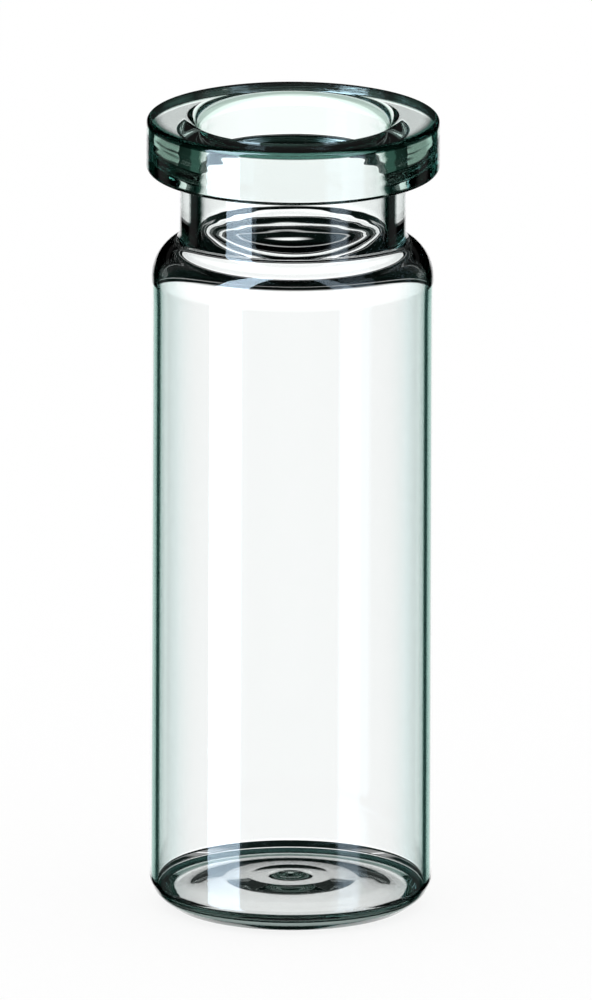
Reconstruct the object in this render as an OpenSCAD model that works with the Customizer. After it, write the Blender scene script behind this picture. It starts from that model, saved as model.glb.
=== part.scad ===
// Glass sample vial with a crimp neck: one piece of clear tubing glass.
// Its wall is drawn as a half outline in the right half plane, where X is the distance
// from the axis and Y is the height, and is turned about the axis.

/* [Overall] */
// Height of the vial from the surface it stands on to its rim
total_h = 54.6; // [45:0.1:80]

/* [Body] */
// Outer diameter of the body
body_d = 19; // [18:0.1:24]
// Wall of the body
wall = 0.52; // [0.4:0.02:0.8]
// Outer rounding where the body turns into the shoulder
shoulder_round = 2.75; // [2.3:0.05:3.2]
// Thickness of the glass on top of the shoulder
shoulder_wall = 0.95; // [0.8:0.05:1.2]

/* [Neck] */
// Outer diameter of the neck
neck_d = 15.2; // [14.6:0.1:16.2]
// Diameter of the bore that takes the stopper
bore_d = 12.8; // [12.2:0.1:13.2]
// Height of the plain neck between shoulder and flange
neck_h = 4.6; // [3.5:0.1:8]
// Hollow rounding between shoulder and neck
neck_fillet = 0.75; // [0.5:0.05:0.95]
// Rounding by which the bore widens into the body
throat_round = 3.2; // [2.6:0.1:3.6]

/* [Flange] */
// Outer diameter of the crimp flange
flange_d = 19.8; // [18.8:0.1:20.6]
// Thickness of the crimp flange
flange_h = 3.7; // [3:0.1:4.4]
// Rounding of the upper outer edge of the flange
rim_round = 0.4; // [0.2:0.05:0.9]
// Rounding of the lower outer edge of the flange
flange_edge_round = 0.4; // [0.2:0.05:0.6]
// Rounding of the inner edge of the mouth
mouth_round = 1; // [0.5:0.05:1.3]
// Hollow rounding between the neck and the underside of the flange
flange_fillet = 0.3; // [0.2:0.05:0.6]

/* [Base] */
// Thickness of the glass over the ring that the vial stands on
base_wall = 1.15; // [0.9:0.05:1.4]
// Outer rounding of the heel
heel_round = 1.9; // [1.6:0.05:2.1]
// Inner rounding of the heel
inner_heel_round = 0.5; // [0.4:0.05:0.9]
// Diameter of the hollow under the base
hollow_d = 14; // [12.4:0.1:14.6]
// Height of the hollow under the base
hollow_h = 0.6; // [0.3:0.05:0.7]
// Height by which the floor rises towards the axis
floor_rise = 0.8; // [0.5:0.05:0.9]
// Height of the small nub in the middle of the floor
nub_h = 0.5; // [0.3:0.05:0.6]
// Width of the small nub in the middle of the floor
nub_d = 2.6; // [2.2:0.1:3.4]

/* [Hidden] */
$fn = 96;

body_r = body_d / 2;
inner_r = body_r - wall;
neck_r = neck_d / 2;
bore_r = bore_d / 2;
flange_r = flange_d / 2;
hollow_r = hollow_d / 2;
nub_r = nub_d / 2;
floor_r = inner_r - inner_heel_round;

flange_z = total_h - flange_h;
shoulder_top = flange_z - neck_h;
shoulder_z = shoulder_top - shoulder_round;

// Facets of the flat balls under and over the base, which are far larger than the rest
ball_facets = 360;
// How far a hollow rounding is let into the round one it touches, so that the two cross cleanly
lap = 0.0005;
// How far the bore is cut past the rim
overshoot = 1;

// Two roundings that touch: the low one bends inwards at the distance x, or at the high one's
// distance where a flat lies between them, and the high one is hollow and has its centre at
// the distance across. How far the high centre stands over the low one.
function arc_x(x, across) = min(x, across);
function rise(x, across, low, high) =
    sqrt(pow(low + high, 2) - pow(across - arc_x(x, across), 2));

// Outside: from the shoulder up into the neck
shoulder_x = body_r - shoulder_round;
cove_x = neck_r + neck_fillet;
cove_rise = rise(shoulder_x, cove_x, shoulder_round, neck_fillet);

// Inside: from the body's wall up into the bore
inner_shoulder_round = shoulder_round - wall;
inner_shoulder_x = inner_r - inner_shoulder_round;
inner_shoulder_z = shoulder_top - shoulder_wall - inner_shoulder_round;
throat_x = bore_r + throat_round;
throat_rise = rise(inner_shoulder_x, throat_x, inner_shoulder_round, throat_round);

// Radius of the ball that crosses a level at a distance r from the axis and stands h above it
function ball_radius(r, h) = (r * r + h * h) / (2 * h);

// Height of the floor at a distance r from the axis
floor_ball = ball_radius(floor_r, floor_rise);
function floor_z(r) = base_wall + floor_rise - floor_ball + sqrt(pow(floor_ball, 2) - r * r);

// Round bar from the axis out to r and from z0 up to z1, with its outer corners rounded
module bar(r, z0, z1, low_round, top_round) {
    middle = (z0 + low_round + z1 - top_round) / 2;
    translate([0, z0 + low_round]) square([r, z1 - z0 - low_round - top_round]);
    translate([0, z0]) square([r - low_round, middle - z0]);
    translate([0, middle]) square([r - top_round, z1 - middle]);
    translate([r - low_round, z0 + low_round]) circle(low_round);
    translate([r - top_round, z1 - top_round]) circle(top_round);
}

// Ball on the axis that crosses height z at a distance r and stands h above it
module ball(r, z, h) {
    translate([0, z + h - ball_radius(r, h)]) circle(ball_radius(r, h), $fn = ball_facets);
}

// Hollow corner: what a circle leaves of the square around it, towards the corner at [r, z].
// The square lies outside r, and above z where side is 1 or below z where it is -1.
module cove(r, z, size, side) {
    translate([r, z]) mirror([0, side > 0 ? 0 : 1]) difference() {
        square(size);
        translate([size, size]) circle(size);
    }
}

// Root of a neck: the hollow rounding high about [across, z + up], down to where it touches
// the rounding low about [x, z]
module root(x, z, low, across, up, high) {
    touch = arc_x(x, across) + (across - arc_x(x, across)) * low / (low + high);
    translate([0, z - lap]) difference() {
        square([touch, up]);
        translate([across, up]) circle(high);
    }
}

module outside() {
    difference() {
        bar(body_r, 0, shoulder_top, heel_round, shoulder_round);
        ball(hollow_r, 0, hollow_h);
    }
    root(shoulder_x, shoulder_z, shoulder_round, cove_x, cove_rise, neck_fillet);
    translate([0, shoulder_z]) square([neck_r, total_h - shoulder_z - rim_round]);
    cove(neck_r, flange_z, flange_fillet, -1);
    bar(flange_r, flange_z, total_h, flange_edge_round, rim_round);
}

module cavity() {
    difference() {
        bar(inner_r, base_wall, inner_shoulder_z + inner_shoulder_round,
            inner_heel_round, inner_shoulder_round);
        ball(floor_r, base_wall, floor_rise);
        ball(nub_r, floor_z(nub_r), floor_z(0) + nub_h - floor_z(nub_r));
    }
    root(inner_shoulder_x, inner_shoulder_z, inner_shoulder_round,
        throat_x, throat_rise, throat_round);
    translate([0, inner_shoulder_z]) square([bore_r, total_h - inner_shoulder_z + overshoot]);
    cove(bore_r, total_h, mouth_round, -1);
}

module vial() {
    color("azure", 0.35) rotate_extrude() difference() {
        outside();
        cavity();
    }
}

vial();
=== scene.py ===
"""Glass sample vial on a white table, in metres, in the frame of its CAD model.

The frame's one node, "vial", is a solid of revolution. Here it is replaced by a finer turned mesh
of nearly the same outline, with the faint unevenness of a hand-finished vial, and made of glass.
Outline sizes are in millimetres: x is the distance from the axis and y the height.
"""

import math

import bpy
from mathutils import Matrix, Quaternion, Vector


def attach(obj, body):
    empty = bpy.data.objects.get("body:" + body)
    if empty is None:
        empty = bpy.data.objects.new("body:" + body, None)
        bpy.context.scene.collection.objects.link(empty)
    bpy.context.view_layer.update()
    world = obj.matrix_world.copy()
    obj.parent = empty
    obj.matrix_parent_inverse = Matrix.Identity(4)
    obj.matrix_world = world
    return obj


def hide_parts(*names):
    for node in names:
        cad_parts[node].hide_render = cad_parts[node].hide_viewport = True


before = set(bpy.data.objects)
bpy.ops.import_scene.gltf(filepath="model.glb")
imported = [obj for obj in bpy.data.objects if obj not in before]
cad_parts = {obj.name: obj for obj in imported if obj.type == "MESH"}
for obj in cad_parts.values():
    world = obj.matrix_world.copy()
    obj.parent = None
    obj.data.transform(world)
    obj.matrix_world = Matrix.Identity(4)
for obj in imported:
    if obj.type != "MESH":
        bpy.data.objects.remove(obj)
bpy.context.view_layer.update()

MM = 0.001

# ---- Outline of the vial, in millimetres ----
TOTAL_H = 54.593
BODY_R = 9.5
WALL = 0.516
NECK_R = 7.619
BORE_R = 6.374
FLANGE_R = 9.895
FLANGE_H = 3.683
RIM_ROUND = 0.355
FLANGE_EDGE_ROUND = 0.388
MOUTH_ROUND = 0.978
FLANGE_FILLET = 0.292
SHOULDER_TOP = 46.297
SHOULDER_ROUND = 2.751
NECK_FILLET = 0.753
THROAT_Z = 47.724
THROAT_ROUND = 3.171
INNER_SHOULDER_ROUND = 2.182

# Fall of the underside and of the floor, in degrees, at distances from the axis
UNDERSIDE_FALL = (
    (0, 0), (1.8, 0.1), (3.1, 1.6), (4.0, 4.4), (5.6, 7.0), (6.0, 8.4), (6.5, 9.0), (6.9, 7.5),
    (7.6, 4.0),
)
FLOOR_FALL = (
    (0, 0), (1.3, 0.0), (2.65, 0.2), (2.9, 4.8), (4.4, 6.6), (4.65, 4.8), (5.2, 6.6), (6.0, 8.2),
    (7.0, 8.8), (7.6, 7.0), (8.2, 4.5), (8.6, 3.0),
)
FOOT_R = 7.6
FLOOR_TOP = 1.91
FLOOR_R = 8.55
FALL_STEP = 0.05
# Gentle nub in the middle of the floor
NUB_R = 1.7
NUB_H = 0.36
# Corners of the heel (x, y, rounding), and the rounding of the corner inside
HEEL = [(7.9, 0, 1.3), (9.05, 0.68, 1.4), (BODY_R, 1.62, 0.8)]
INNER_HEEL_ROUND = 0.35
# How much higher the heel lies behind the axis than before it: it comes in from the ground up to
# a height, and ends at the body's long wall
HEEL_LIFT = 0.35
HEEL_LIFT_FROM = 0.7
LIFT_BELOW = 10.0

# ---- Mesh: segments round the axis, degrees of an arc, and lengths in millimetres ----
SEGMENTS = 256
ARC_STEP = 4.0
LINE_STEP = 1.2
FINE_STEP = 0.12
FINE_FROM = 46.0
SAME_POINT = 1e-5
STRAIGHT = 1e-4
LONGEST_REACH = 0.999

# ---- Unevenness of neck and flange ----
# Rings: from and to a height, depth and wavelength, in millimetres
NECK_WAVES = (46.2, 51.0, 0.0006, 0.62)
FLANGE_WAVES = (50.5, 54.4, 0.005, 0.8)
# How the rings wander round the axis: count, size and start of each wave, in radians
WAVE_DRIFT = ((3, 0.7, 0.4), (7, 0.4, 2.0), (13, 0.2, 4.1))
# The outside has shallower rings than the bore, out of step with them
OUTSIDE_WAVE_SHARE = 0.6
OUTSIDE_WAVE_START = 2.0
# What lies at least this far within the neck's outside belongs to the bore, in millimetres
BORE_SIDE = 0.3

# ---- Glass ----
GLASS_IOR = 1.5
TINT_DENSITY = 22.0
TINT_COLOUR = (0.11, 0.75, 0.57)

# Colours of the glass. WHITE is clear; the others are painted shade: greenish tints and dark
# lines at the edges, a dark ring at the inner corner, a dark rim line and the heel's dark and
# pale bands
WHITE = (1.0, 1.0, 1.0)
MINT = (0.90, 0.99, 0.985)
PALE = (0.86, 0.97, 0.95)
SOFT = (0.76, 0.93, 0.90)
DARK = (0.022, 0.060, 0.052)
LINE = (0.30, 0.48, 0.43)
SHEEN = (0.70, 0.97, 0.90)
LEAF = (0.62, 0.79, 0.71)
GREEN = (0.23, 0.33, 0.28)
# Painted shade: a near-black ring on the inner corner of the heel
CORNER_SHADE = (0.0004, 0.0020, 0.0017)
# Painted shade: a dark green line along the rim
RIM_SHADE = (0.006, 0.030, 0.022)
# Painted shade on the heel: its dark and pale bands
HEEL_DARK = (0.03, 0.08, 0.065)
HEEL_PALE = (0.80, 0.95, 0.91)

# Painted shade on the edges: greenish tints and dark lines, which grow with the Fresnel share.
# Share and colour
BODY_EDGE_SHADE = (
    (0.0, WHITE), (0.05, WHITE), (0.075, MINT), (0.11, PALE), (0.155, SOFT), (0.170, LINE),
    (0.184, DARK), (0.222, DARK), (0.25, LINE), (0.34, SHEEN), (0.45, WHITE),
)
NECK_EDGE_SHADE = ((0.0, WHITE), (0.062, WHITE), (0.073, DARK), (0.12, DARK), (0.15, WHITE))
FLANGE_EDGE_SHADE = (
    (0.0, WHITE), (0.044, WHITE), (0.048, LEAF), (0.056, LEAF), (0.066, GREEN), (0.12, GREEN),
    (0.16, LEAF), (0.25, LINE), (0.34, WHITE),
)
BORE_EDGE_SHADE = ((0.0, WHITE), (0.25, WHITE), (0.4, GREEN), (0.9, GREEN), (0.99, WHITE))

# Where the painted shades lie, in metres. A span is from, to and the width of its soft ends, and
# an edge is a place and the width over which it comes in.
BODY_FROM = 0.0092
SHOULDER_UP = 0.0445
BORE_TO = 0.0070
NECK_ACROSS = (0.0073, 0.0079, 0.00004)
NECK_UP = (0.0464, 0.0508, 0.0002)
CORNER_ACROSS = (0.00845, 0.00899, 0.00004)
CORNER_UP = (0.00112, 0.00150, 0.00004)
INSIDE_UP = (0.00108, 0.00002)
INSIDE_ACROSS = (0.00902, 0.00004)
RIM_ACROSS = (0.0090, 0.0008)
RIM_UP = (0.05415, 0.0001)
FLANGE_ACROSS = (0.0097, 0.0001)

# The heel is matt up to a height in millimetres. Its lines of painted shade, dark and pale, which
# also set how matt it is: height and lightness
HEEL_BAND = 1.1
HEEL_UP = (-0.001, HEEL_BAND * MM, 0.0001)
HEEL_ACROSS = (0.00795, 0.0003)
MATT = 0.38
HEEL_LINES = (
    (0.0, 0.25), (0.22, 0.1), (0.30, 0.05), (0.50, 0.05), (0.60, 0.9), (0.84, 1.0), (0.88, 0.1),
    (0.98, 0.1), (1.02, 0.6), (1.09, 0.3),
)

# ---- Studio: levels of light ----
PANEL_LIGHT = 1.10
PANEL_GAIN = 0.2
SIDE_LIGHT = 0.12
WALL_LIGHT = 0.03
BOX_LIGHT = 8.0
BOX_COLOUR = (0.78, 1.0, 1.2)
BOX_WITHIN = 0.12
RIGHT_BOX = 0.25
BOX_GAIN = 0.6
DIM_LIGHT = 0.03
BEHIND_REST = 0.15
FLANK_LIGHT = 0.035
FAR_LIGHT = 0.12
FLANK_COLOUR = (0.5, 1.0, 0.85)

# ---- Studio: spans and edges in degrees, of height over the horizon and of bearing ----
PANEL_UP = (-95.0, -6.0, 1.0)
LEVEL_UP = (-3.0, 3.0, 1.0)
LEVEL_ASIDE = (32.0, 4.0)
# Strips on the horizon, each with its share of the panel's light
STRIPS = (((-0.1, 0.1, 0.05), 1.0), ((-0.8, 0.8, 0.6), 0.3))
BENT_UP = (-44.0, -4.0, 1.0)
UNBENT_UP = (-18.5, -10.5, 5.0)
LOW_UP = (-44.0, -6.0, 1.0)
BEHIND_UP = (-17.5, -11.5, 2.0)
BEHIND_ASIDE = (34.0, 2.0)
LEFT_BOX_ASIDE = (42.5, 72.0, 1.0)
RIGHT_BOX_ASIDE = (39.5, 58.0, 5.0)
BOX_UP = (-40.0, 75.0, 10.0)
BOX_GAIN_UP = (12.0, 12.0)
DIM_UP = (15.0, 6.0)
DIM_ASIDE = (30.0, 10.0)
FAR_UP = (-20.0, -9.0, 1.0)
FAR_ASIDE = (55.0, 6.0)
SIDE_ASIDE = (48.0, 64.0, 8.0)
SIDE_UP = (-30.0, -2.0, 6.0)
WALL_UP = (12.0, 17.0, 2.0)
EDGE_ON_ASIDE = (19.0, 8.0)

# ---- Table: radius in metres, corners, and the share of its white that takes shadow ----
TABLE_R = 0.7
TABLE_CORNERS = 96
TABLE_SHADED = 0.15

# ---- Camera: degrees, millimetres, and its distance in metres ----
CAMERA_ELEVATION = 14.5
CAMERA_ROLL = 0.2
FRAME_HEIGHT = 67.385
AIM_X = 0.276
AIM_Z = 27.95
CAMERA_DISTANCE = 0.5

# Light passes many walls on its way through the vial
BOUNCES = 24


def arc(cx, cy, radius, start, end):
    """Points of an arc about (cx, cy), from one angle to another, in degrees."""
    n = max(3, int(abs(end - start) / ARC_STEP) + 1)
    angles = [math.radians(start + (end - start) * i / n) for i in range(n + 1)]
    return [(cx + radius * math.cos(a), cy + radius * math.sin(a)) for a in angles]


def rounded(corners):
    """Points of a line through corners (x, y, rounding), each corner rounded by an arc."""
    points = []
    for i, (x, y, r) in enumerate(corners):
        if r <= 0 or i in (0, len(corners) - 1):
            points.append((x, y))
            continue
        p = Vector((x, y))
        a = Vector(corners[i - 1][:2]) - p
        b = Vector(corners[i + 1][:2]) - p
        half = a.angle(b) / 2
        if abs(math.pi / 2 - half) < STRAIGHT:
            points.append((x, y))
            continue
        reach = min(r / math.tan(half), a.length * LONGEST_REACH, b.length * LONGEST_REACH)
        r = reach * math.tan(half)
        centre = p + (a.normalized() + b.normalized()).normalized() * (r / math.sin(half))
        s = p + a.normalized() * reach - centre
        e = p + b.normalized() * reach - centre
        start = math.atan2(s.y, s.x)
        turn = (math.atan2(e.y, e.x) - start + math.pi) % (2 * math.pi) - math.pi
        points += arc(centre.x, centre.y, r, math.degrees(start), math.degrees(start + turn))
    return points


def upper_outline():
    """Outside of the shoulder, neck and flange, and down the inside to the body's wall."""
    flange_z = TOTAL_H - FLANGE_H
    shoulder_z = SHOULDER_TOP - SHOULDER_ROUND
    shoulder_x = BODY_R - SHOULDER_ROUND
    cove_x = NECK_R + NECK_FILLET
    reach = SHOULDER_ROUND + NECK_FILLET
    rise = math.sqrt(reach**2 - (cove_x - shoulder_x) ** 2)
    turn = math.degrees(math.atan2(rise, cove_x - shoulder_x))
    points = arc(shoulder_x, shoulder_z, SHOULDER_ROUND, 0, turn)
    points += arc(cove_x, shoulder_z + rise, NECK_FILLET, 180 + turn, 180)
    points += arc(NECK_R + FLANGE_FILLET, flange_z - FLANGE_FILLET, FLANGE_FILLET, 180, 90)
    points += arc(
        FLANGE_R - FLANGE_EDGE_ROUND, flange_z + FLANGE_EDGE_ROUND, FLANGE_EDGE_ROUND, -90, 0
    )
    points += arc(FLANGE_R - RIM_ROUND, TOTAL_H - RIM_ROUND, RIM_ROUND, 0, 90)
    points += arc(BORE_R + MOUTH_ROUND, TOTAL_H - MOUTH_ROUND, MOUTH_ROUND, 90, 180)
    inner_x = BODY_R - WALL - INNER_SHOULDER_ROUND
    across = BORE_R + THROAT_ROUND - inner_x
    down = math.sqrt((THROAT_ROUND + INNER_SHOULDER_ROUND) ** 2 - across**2)
    turn = math.degrees(math.atan2(down, across))
    points += arc(BORE_R + THROAT_ROUND, THROAT_Z, THROAT_ROUND, 180, 180 + turn)
    points += arc(inner_x, THROAT_Z - down, INNER_SHOULDER_ROUND, turn, 0)
    return points


def falling(falls, top, end):
    """Points from the axis out to end, from the height top, falling by the given angles."""
    n = round(end / FALL_STEP)
    points = [(0.0, top)]
    for i in range(1, n + 1):
        x = end * i / n
        middle = x - end / n / 2
        k = max(k for k, fall in enumerate(falls[:-1]) if fall[0] <= middle)
        (x0, a0), (x1, a1) = falls[k], falls[k + 1]
        angle = a0 + (a1 - a0) * (middle - x0) / (x1 - x0)
        points.append((x, points[-1][1] - end / n * math.tan(math.radians(angle))))
    return points


def nub(x):
    """Height of the nub over the floor at a distance from the axis."""
    return NUB_H * (0.5 + 0.5 * math.cos(math.pi * min(1.0, x / NUB_R)))


def outline():
    """The whole half outline from the axis out under the base, up, over the rim and down inside,
    and how many of its points belong to the underside and heel."""
    top = upper_outline()
    underside = falling(UNDERSIDE_FALL, 0.0, FOOT_R)
    rise = -underside[-1][1]
    underside = [(x, z + rise) for x, z in underside]
    heel = rounded([underside[-1] + (0,)] + HEEL + [(BODY_R, top[0][1], 0)])
    floor = falling(FLOOR_FALL, FLOOR_TOP, FLOOR_R)
    corner_z = floor[-1][1]
    floor = [(x, z + nub(x)) for x, z in floor]
    inside = rounded(
        [(BODY_R - WALL, top[-1][1], 0), (BODY_R - WALL, corner_z, INNER_HEEL_ROUND)]
        + [floor[-1] + (0,)]
    )
    points = [underside[0]]
    outside = 0
    for q in underside[1:] + heel + top + inside + floor[::-1]:
        p = points[-1]
        step = math.dist(q, p)
        if step < SAME_POINT:
            continue
        fine = min(p[1], q[1]) > FINE_FROM
        n = max(1, math.ceil(step / (FINE_STEP if fine else LINE_STEP)))
        for i in range(1, n + 1):
            points.append((p[0] + (q[0] - p[0]) * i / n, p[1] + (q[1] - p[1]) * i / n))
        if q == heel[-1]:
            outside = len(points)
    points[0] = (0, points[0][1])
    points[-1] = (0, points[-1][1])
    return points, outside


def unevenness(x, z, turn):
    """How far the surface is drawn in at a height and an angle, in millimetres."""
    bore = x < NECK_R - BORE_SIDE
    drift = sum(size * math.sin(count * turn + start) for count, size, start in WAVE_DRIFT)
    depth = 0.0
    for low, high, size, length in (NECK_WAVES, FLANGE_WAVES):
        if low < z < high:
            fade = math.sin(math.pi * (z - low) / (high - low)) ** 0.5
            phase = 2 * math.pi * z / length + drift + (0 if bore else OUTSIDE_WAVE_START)
            share = 1.0 if bore else OUTSIDE_WAVE_SHARE
            depth += size * fade * (1 + math.sin(phase)) * share
    return depth


def heel_lift(x, z, turn):
    """How much higher a point of the outer heel lies at an angle, in millimetres."""
    if x < FOOT_R:
        return 0.0
    return HEEL_LIFT * min(1.0, z / HEEL_LIFT_FROM) * (1 + math.sin(turn)) / 2


def turned(points, outside):
    """Vertices and faces of the outline turned about Z. The first points lie outside."""
    rings = points[1:-1]
    verts = [(0, 0, points[0][1] * MM)]
    for i, (x, z) in enumerate(rings, 1):
        for k in range(SEGMENTS):
            t = 2 * math.pi * k / SEGMENTS
            r = x - unevenness(x, z, t)
            up = heel_lift(x, z, t) if i < outside and z < LIFT_BELOW else 0.0
            verts.append((r * math.cos(t) * MM, r * math.sin(t) * MM, (z + up) * MM))
    verts.append((0, 0, points[-1][1] * MM))
    faces = [(0, 1 + (k + 1) % SEGMENTS, 1 + k) for k in range(SEGMENTS)]
    for i in range(len(rings) - 1):
        a = 1 + i * SEGMENTS
        b = a + SEGMENTS
        for k in range(SEGMENTS):
            j = (k + 1) % SEGMENTS
            faces.append((a + k, a + j, b + j, b + k))
    a = 1 + (len(rings) - 1) * SEGMENTS
    last = len(verts) - 1
    faces += [(a + k, a + (k + 1) % SEGMENTS, last) for k in range(SEGMENTS)]
    return verts, faces


def opaque(colour):
    """A colour with full alpha, as a node's socket takes it."""
    return (*colour, 1)


class Nodes:
    """Short ways to add nodes to a tree."""

    # Sockets of a mix: its share, what it gives at 0 and at 1, and its result
    MIX_SOCKETS = {"FLOAT": (0, 2, 3, 0), "RGBA": (0, 6, 7, 2)}

    def __init__(self, tree):
        self.tree = tree
        tree.nodes.clear()

    def put(self, kind, **values):
        node = self.tree.nodes.new(kind)
        for name, value in values.items():
            setattr(node, name, value)
        return node

    def set(self, socket, value):
        if isinstance(value, bpy.types.NodeSocket):
            self.tree.links.new(value, socket)
        else:
            socket.default_value = value

    def math(self, operation, *values):
        node = self.put("ShaderNodeMath", operation=operation)
        for i, value in enumerate(values):
            self.set(node.inputs[i], value)
        return node.outputs[0]

    def times(self, a, b):
        return self.math("MULTIPLY", a, b)

    def plus(self, a, b):
        return self.math("ADD", a, b)

    def larger(self, a, b):
        return self.math("MAXIMUM", a, b)

    def without(self, a):
        """1 where a is 0, and 0 where a is 1."""
        return self.math("SUBTRACT", 1.0, a)

    def step(self, x, at, width, low=0.0, high=1.0):
        """A soft step from low to high where x passes at."""
        node = self.put("ShaderNodeMapRange", interpolation_type="SMOOTHSTEP")
        values = (x, at - width / 2, at + width / 2, low, high)
        for socket, value in zip(list(node.inputs)[:5], values):
            self.set(socket, value)
        return node.outputs["Result"]

    def window(self, x, low, high, width):
        """1 where x is between low and high, 0 elsewhere."""
        return self.times(self.step(x, low, width), self.step(x, high, width, 1, 0))

    def mix(self, kind, share, first, second):
        """What lies between first and second, numbers or colours."""
        at_share, at_first, at_second, result = self.MIX_SOCKETS[kind]
        node = self.put("ShaderNodeMix", data_type=kind)
        for socket, value in ((at_share, share), (at_first, first), (at_second, second)):
            self.set(node.inputs[socket], value)
        return node.outputs[result]

    def ramp(self, x, stops):
        """Colour at x, between stops (place, colour)."""
        node = self.put("ShaderNodeValToRGB")
        elements = node.color_ramp.elements
        while len(elements) < len(stops):
            elements.new(0.5)
        for element, (at, colour) in zip(elements, stops):
            element.position = at
            element.color = opaque(colour)
        self.set(node.inputs[0], x)
        return node.outputs["Color"]


# ---- The vial ----
verts, faces = turned(*outline())
mesh = bpy.data.meshes.new("vial_glass")
mesh.from_pydata(verts, [], faces)
mesh.update()
mesh.shade_smooth()
vial = bpy.data.objects.new("vial_glass", mesh)
bpy.context.scene.collection.objects.link(vial)
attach(vial, "root")
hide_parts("vial")

# ---- Its glass ----
glass = bpy.data.materials.new("clear_glass_drawn")
glass.use_nodes = True
g = Nodes(glass.node_tree)
surface = g.put("ShaderNodeBsdfPrincipled")
surface.inputs["Roughness"].default_value = 0.0
surface.inputs["IOR"].default_value = GLASS_IOR
fresnel = g.put("ShaderNodeFresnel")
fresnel.inputs["IOR"].default_value = GLASS_IOR
edge = fresnel.outputs[0]

# Places on the vial: distance from the axis, and height
place = g.put("ShaderNodeSeparateXYZ")
g.set(place.inputs[0], g.put("ShaderNodeTexCoord").outputs["Object"])
place_x, place_y, place_z = place.outputs
squares = g.plus(g.math("POWER", place_x, 2.0), g.math("POWER", place_y, 2.0))
across = g.math("SQRT", squares)

above = g.math("GREATER_THAN", place_z, SHOULDER_UP)
on_body = g.times(g.math("GREATER_THAN", across, BODY_FROM), g.without(above))
on_bore = g.times(g.math("LESS_THAN", across, BORE_TO), above)
on_neck = g.times(g.window(across, *NECK_ACROSS), g.window(place_z, *NECK_UP))
# Painted shade: the dark ring on the inner corner of the heel
on_corner = g.times(g.window(across, *CORNER_ACROSS), g.window(place_z, *CORNER_UP))
# Painted shade: the dark line along the rim
on_rim = g.times(g.step(across, *RIM_ACROSS), g.step(place_z, *RIM_UP))
on_flange = g.times(
    g.step(across, *FLANGE_ACROSS), g.times(above, g.step(place_z, *RIM_UP, 1, 0))
)
# The heel's outside: the inner surface close above it stays clear
within_wall = g.times(g.step(place_z, *INSIDE_UP), g.step(across, *INSIDE_ACROSS, 1, 0))
on_heel = g.times(g.window(place_z, *HEEL_UP), g.step(across, *HEEL_ACROSS))
on_heel = g.times(on_heel, g.without(within_wall))

# Painted shade: dark and pale bands by height on the heel's outside; the paler bands are also
# more matt
heel_stops = [(at / HEEL_BAND, (level,) * 3) for at, level in HEEL_LINES]
heel_line = g.ramp(g.times(place_z, 1000.0 / HEEL_BAND), heel_stops)
heel_shade = g.mix("RGBA", heel_line, opaque(HEEL_DARK), opaque(HEEL_PALE))
matt = g.times(on_heel, g.times(heel_line, MATT))
g.set(surface.inputs["Transmission Weight"], g.without(matt))

# The glass's base colour is clear white with painted shade over it: edge tints and lines, the
# corner ring, the heel's bands and the rim line
glass_painted_shade = opaque(WHITE)
for where, shade in (
    (on_body, g.ramp(edge, BODY_EDGE_SHADE)),
    (on_bore, g.ramp(edge, BORE_EDGE_SHADE)),
    (on_neck, g.ramp(edge, NECK_EDGE_SHADE)),
    (on_corner, opaque(CORNER_SHADE)),
    (on_heel, heel_shade),
    (on_rim, opaque(RIM_SHADE)),
    (on_flange, g.ramp(edge, FLANGE_EDGE_SHADE)),
):
    glass_painted_shade = g.mix("RGBA", where, glass_painted_shade, shade)
g.set(surface.inputs["Base Color"], glass_painted_shade)

tint = g.put("ShaderNodeVolumeAbsorption")
tint.inputs["Color"].default_value = opaque(TINT_COLOUR)
tint.inputs["Density"].default_value = TINT_DENSITY
glass_output = g.put("ShaderNodeOutputMaterial")
g.set(glass_output.inputs["Surface"], surface.outputs[0])
g.set(glass_output.inputs["Volume"], tint.outputs[0])
mesh.materials.append(glass)

# ---- Studio, by direction ----
world = bpy.data.worlds.new("studio")
bpy.context.scene.world = world
world.use_nodes = True
w = Nodes(world.node_tree)
direction = w.put("ShaderNodeSeparateXYZ")
w.set(direction.inputs[0], w.put("ShaderNodeTexCoord").outputs["Generated"])
DEGREES = 180 / math.pi
# Bearing from straight behind the vial (0) to straight before it (180), to the right positive
bearing = w.times(w.math("ARCTAN2", *direction.outputs[:2]), DEGREES)
aside = w.math("ABSOLUTE", bearing)
turned_back = w.math("SUBTRACT", 180.0, aside)
height = w.times(w.math("ARCSINE", direction.outputs[2]), DEGREES)
low = w.window(height, *LOW_UP)

# Seen through the glass: a panel that fills all below the horizon, and for level views strips on
# the horizon. It is a little brighter where the glass bends the line of sight.
through = w.window(height, *PANEL_UP)
level = w.times(w.window(height, *LEVEL_UP), w.step(aside, *LEVEL_ASIDE))
through = w.larger(through, level)
for span, share in STRIPS:
    through = w.larger(through, w.times(w.window(height, *span), share))
bent = w.math("SUBTRACT", w.window(height, *BENT_UP), w.window(height, *UNBENT_UP))
through = w.times(through, w.plus(PANEL_LIGHT, w.times(bent, PANEL_GAIN)))

# Two soft boxes before the vial, at the left and weaker at the right, brighter high up
left = w.times(w.math("LESS_THAN", bearing, 0.0), w.window(turned_back, *LEFT_BOX_ASIDE))
right = w.times(w.math("GREATER_THAN", bearing, 0.0), w.window(turned_back, *RIGHT_BOX_ASIDE))
high_up = w.plus(1.0, w.times(w.step(height, *BOX_GAIN_UP), BOX_GAIN))
boxes = w.times(w.plus(left, w.times(right, RIGHT_BOX)), w.window(height, *BOX_UP))

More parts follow.
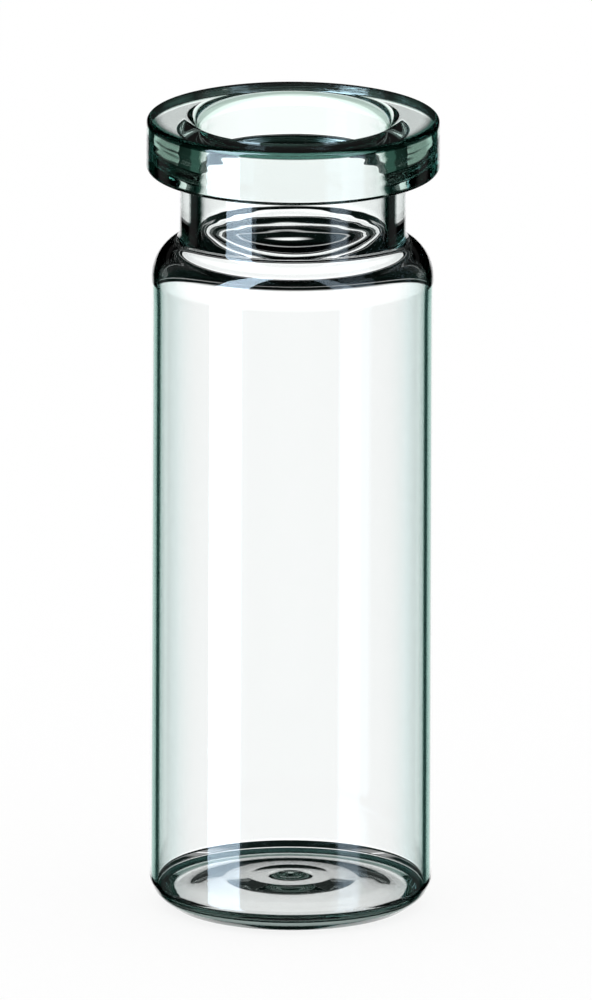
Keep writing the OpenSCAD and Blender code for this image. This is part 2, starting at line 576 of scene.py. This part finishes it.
# Reflected within the glass: a lit band behind the vial, and its dim greenish flanks
behind = w.larger(w.times(low, BEHIND_REST), w.window(height, *BEHIND_UP))
behind = w.times(behind, w.step(aside, *BEHIND_ASIDE, 1, 0))
dim = w.times(w.times(w.step(height, *DIM_UP), w.step(aside, *DIM_ASIDE)), DIM_LIGHT)
far = w.times(w.window(height, *FAR_UP), w.step(aside, *FAR_ASIDE, 0, FAR_LIGHT))
flank = w.larger(w.larger(w.times(low, FLANK_LIGHT), far), dim)

# Reflected off the outside: the sides, the wall above the panel, and the panel seen edge on
sides = w.times(w.window(aside, *SIDE_ASIDE), w.window(height, *SIDE_UP))
wall = w.window(height, *WALL_UP)
outside = w.larger(w.times(sides, SIDE_LIGHT), w.times(wall, WALL_LIGHT))
outside = w.larger(outside, w.times(low, w.step(aside, *EDGE_ON_ASIDE, 1, 0)))

# Which of these a ray sees. The camera and the table see plain white.
path = w.put("ShaderNodeLightPath").outputs
has_reflected = w.math("GREATER_THAN", path["Glossy Depth"], 0.5)
has_entered = w.math("GREATER_THAN", path["Transmission Depth"], 0.5)
scattered = w.math("GREATER_THAN", path["Diffuse Depth"], 0.5)
plain = w.larger(path["Is Camera Ray"], scattered)

world_colour = w.put("ShaderNodeCombineColor")
for i, (box_share, flank_share) in enumerate(zip(BOX_COLOUR, FLANK_COLOUR)):
    box = w.times(w.times(boxes, high_up), BOX_LIGHT * box_share)
    room = w.larger(behind, w.times(flank, flank_share))
    within = w.plus(room, w.times(box, BOX_WITHIN))
    reflected = w.mix("FLOAT", has_entered, w.plus(outside, box), within)
    seen = w.mix("FLOAT", has_reflected, through, reflected)
    w.set(world_colour.inputs[i], w.mix("FLOAT", plain, seen, 1.0))
background = w.put("ShaderNodeBackground")
w.set(background.inputs["Color"], world_colour.outputs[0])
w.set(w.put("ShaderNodeOutputWorld").inputs["Surface"], background.outputs[0])

# ---- Table ----
bpy.ops.mesh.primitive_circle_add(vertices=TABLE_CORNERS, radius=TABLE_R, fill_type="NGON")
floor = bpy.context.object
floor.name = "table"
paper = bpy.data.materials.new("white_table")
paper.use_nodes = True
t = Nodes(paper.node_tree)
diffuse = t.put("ShaderNodeBsdfDiffuse")
diffuse.inputs["Color"].default_value = opaque(WHITE)
blend = t.put("ShaderNodeMixShader")
blend.inputs[0].default_value = TABLE_SHADED
t.set(blend.inputs[1], t.put("ShaderNodeEmission").outputs[0])
t.set(blend.inputs[2], diffuse.outputs[0])
t.set(t.put("ShaderNodeOutputMaterial").inputs["Surface"], blend.outputs[0])
floor.data.materials.append(paper)
floor.visible_transmission = False
floor.visible_glossy = False

# ---- Camera ----
camera_data = bpy.data.cameras.new("camera")
camera_data.type = "ORTHO"
camera_data.ortho_scale = FRAME_HEIGHT * MM
camera = bpy.data.objects.new("camera", camera_data)
bpy.context.scene.collection.objects.link(camera)
bpy.context.scene.camera = camera
tilt = math.radians(CAMERA_ELEVATION)
back = Vector((0, -math.cos(tilt), math.sin(tilt)))
camera.location = Vector((AIM_X * MM, 0, AIM_Z * MM)) + back * CAMERA_DISTANCE
roll = Quaternion((0, 0, 1), math.radians(CAMERA_ROLL))
camera.rotation_euler = ((-back).to_track_quat("-Z", "Y") @ roll).to_euler()

scene = bpy.context.scene
scene.view_settings.view_transform = "Standard"
scene.cycles.max_bounces = BOUNCES
scene.cycles.transmission_bounces = BOUNCES
scene.cycles.glossy_bounces = BOUNCES
